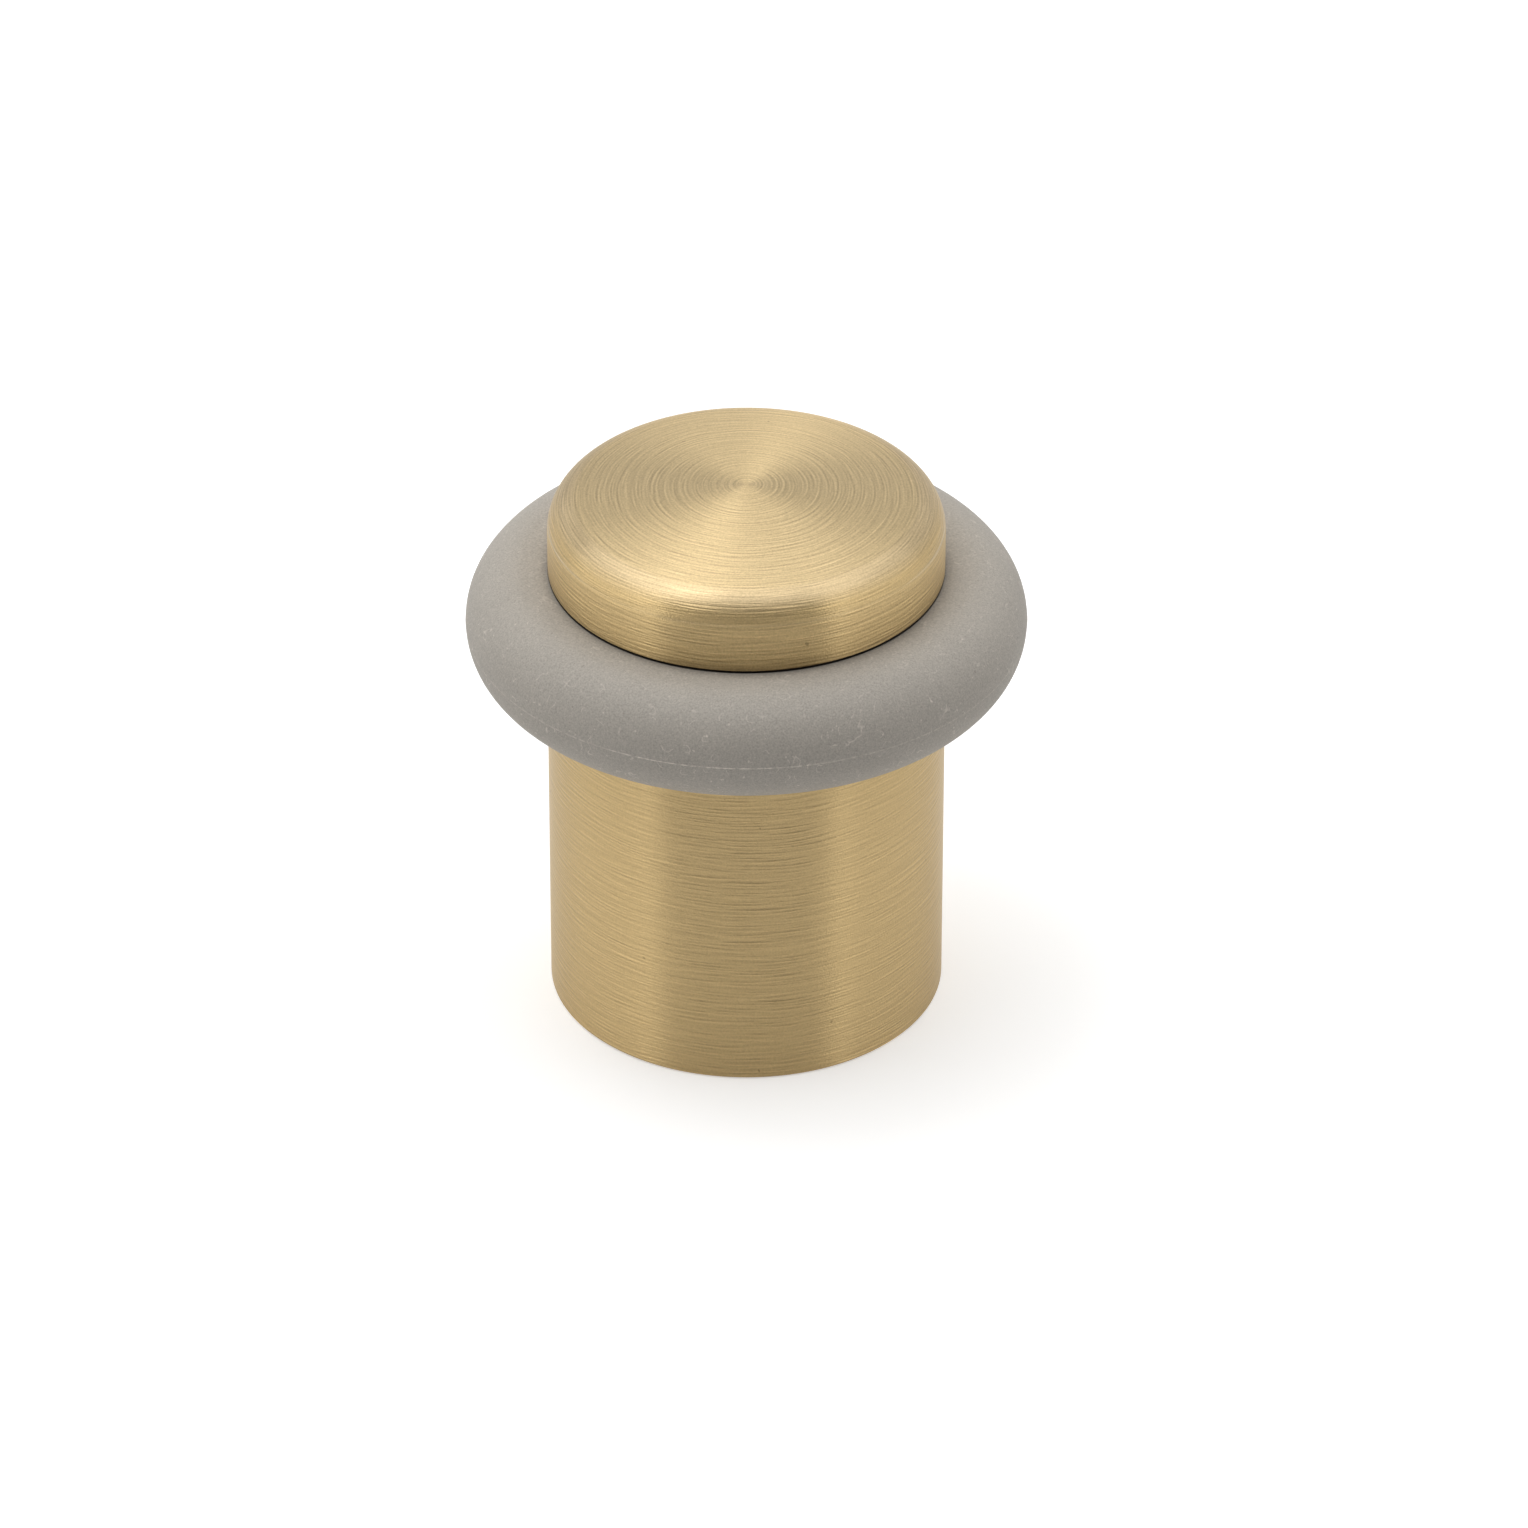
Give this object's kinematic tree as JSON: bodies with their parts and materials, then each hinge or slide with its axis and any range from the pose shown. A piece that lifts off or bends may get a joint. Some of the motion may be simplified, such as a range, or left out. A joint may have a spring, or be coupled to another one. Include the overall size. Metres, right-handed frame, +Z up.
{
  "type": "floor door stop",
  "caption": "Cylindrical floor door stop: a turned, brushed brass body with a round-edged head over a thick grey rubber buffer ring.",
  "frame": {"origin": "centre of the base face, which stands on the floor", "axes": "+Z up along the turning axis; the body is round, so +X and +Y are any two directions across the floor"},
  "size_m": [0.0422, 0.0422, 0.0435],
  "materials": {
    "satin_brass": "satin, brushed round the axis",
    "grey_rubber": "matt, moulded"
  },
  "bodies": {
    "root": {"stop_body": "satin_brass", "buffer_ring": "grey_rubber"}
  },
  "joints": []
}
